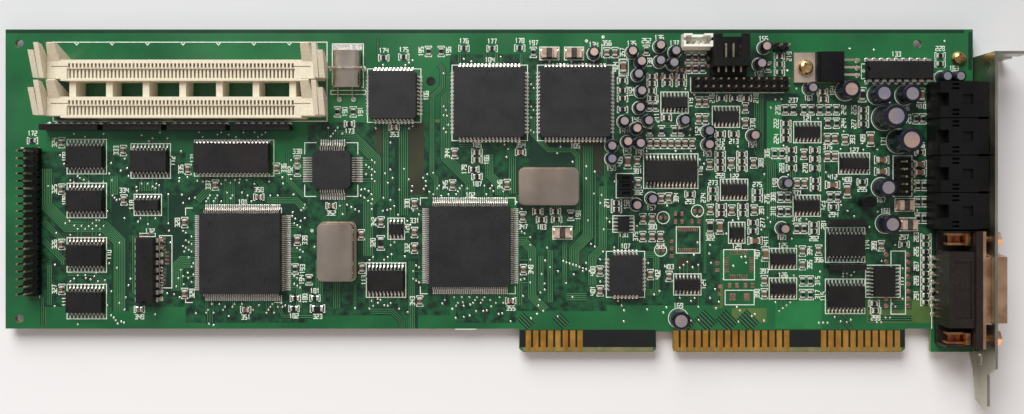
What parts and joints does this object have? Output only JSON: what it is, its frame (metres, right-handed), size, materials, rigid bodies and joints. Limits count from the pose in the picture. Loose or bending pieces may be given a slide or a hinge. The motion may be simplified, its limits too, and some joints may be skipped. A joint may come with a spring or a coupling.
{
  "type": "isa sound card",
  "caption": "Full-length expansion sound card with slot bracket, audio jacks, game port, memory sockets and an edge connector.",
  "frame": {"origin": "under the middle of the whole card, with z = 0 at the bracket's lower edge", "axes": "+X towards the bracket, +Y towards the board's top edge, +Z out of the component side"},
  "size_m": [0.345, 0.1296, 0.0184],
  "materials": {
    "board_green": "gloss solder mask over glass epoxy",
    "gold": "gold plating",
    "bracket_steel": "plated sheet steel",
    "screw_brass": "yellow plating",
    "black_plastic": "matt black moulding",
    "chip_plastic": "fine grained epoxy moulding",
    "cream_plastic": "satin cream moulding",
    "white_plastic": "satin white moulding",
    "tinned_lead": "tin plating",
    "gold_pin": "thin gold flash",
    "shell_tin": "bright tin plating",
    "can_metal": "drawn nickel-plated can",
    "can_aluminium": "bright aluminium",
    "sleeve_black": "shrink sleeve",
    "resistor_black": "glazed resistor film",
    "capacitor_tan": "fired ceramic",
    "solder": "solder",
    "brass_clip": "brass"
  },
  "bodies": {
    "root": {"circuit_board": "board_green", "edge_contacts": "gold", "bracket": "bracket_steel", "board_screws": "screw_brass", "audio_jack_1": "black_plastic", "audio_jack_2": "black_plastic", "audio_jack_3": "black_plastic", "audio_jack_4": "black_plastic", "audio_jack_contacts": "tinned_lead", "game_port_housing": "black_plastic", "game_port_shell": "shell_tin", "game_port_insert": "black_plastic", "game_port_pins": "gold_pin", "game_port_boardlocks": "brass_clip", "game_port_jackscrews": "can_metal", "memory_socket_housing": "cream_plastic", "memory_socket_contacts": "gold_pin", "resistor_networks": "black_plastic", "resistor_network_pins": "tinned_lead", "ribbon_header_base": "black_plastic", "ribbon_header_pins": "gold_pin", "expansion_header_base": "black_plastic", "jumper_bases": "black_plastic", "header_pins": "gold_pin", "jumper_shunts": "black_plastic", "cd_socket": "white_plastic", "aux_socket": "black_plastic", "audio_socket_pins": "gold_pin", "synth_chip_body": "chip_plastic", "synth_chip_leads": "tinned_lead", "bus_chip_body": "chip_plastic", "bus_chip_leads": "tinned_lead", "converter_chip_body": "chip_plastic", "converter_chip_leads": "tinned_lead", "plcc_68_body_1": "chip_plastic", "plcc_68_body_2": "chip_plastic", "plcc_44_body": "chip_plastic", "plcc_32_body": "chip_plastic", "plcc_leads": "tinned_lead", "wide_chip_bodies": "chip_plastic", "wide_chip_leads": "tinned_lead", "narrow_chip_bodies": "chip_plastic", "narrow_chip_leads": "tinned_lead", "memory_chip_body": "chip_plastic", "memory_chip_leads": "tinned_lead", "dip_chip_bodies": "chip_plastic", "dip_chip_leads": "tinned_lead", "oscillator_cans": "can_metal", "oscillator_bases": "can_metal", "crystal_can": "can_metal", "crystal_strap": "tinned_lead", "capacitor_cans": "can_aluminium", "capacitor_sleeves": "sleeve_black", "regulator_body": "black_plastic", "regulator_frame": "tinned_lead", "inductors": "capacitor_tan", "transistor": "black_plastic", "chip_resistors": "resistor_black", "chip_capacitors": "capacitor_tan", "chip_terminals": "solder"}
  },
  "joints": []
}
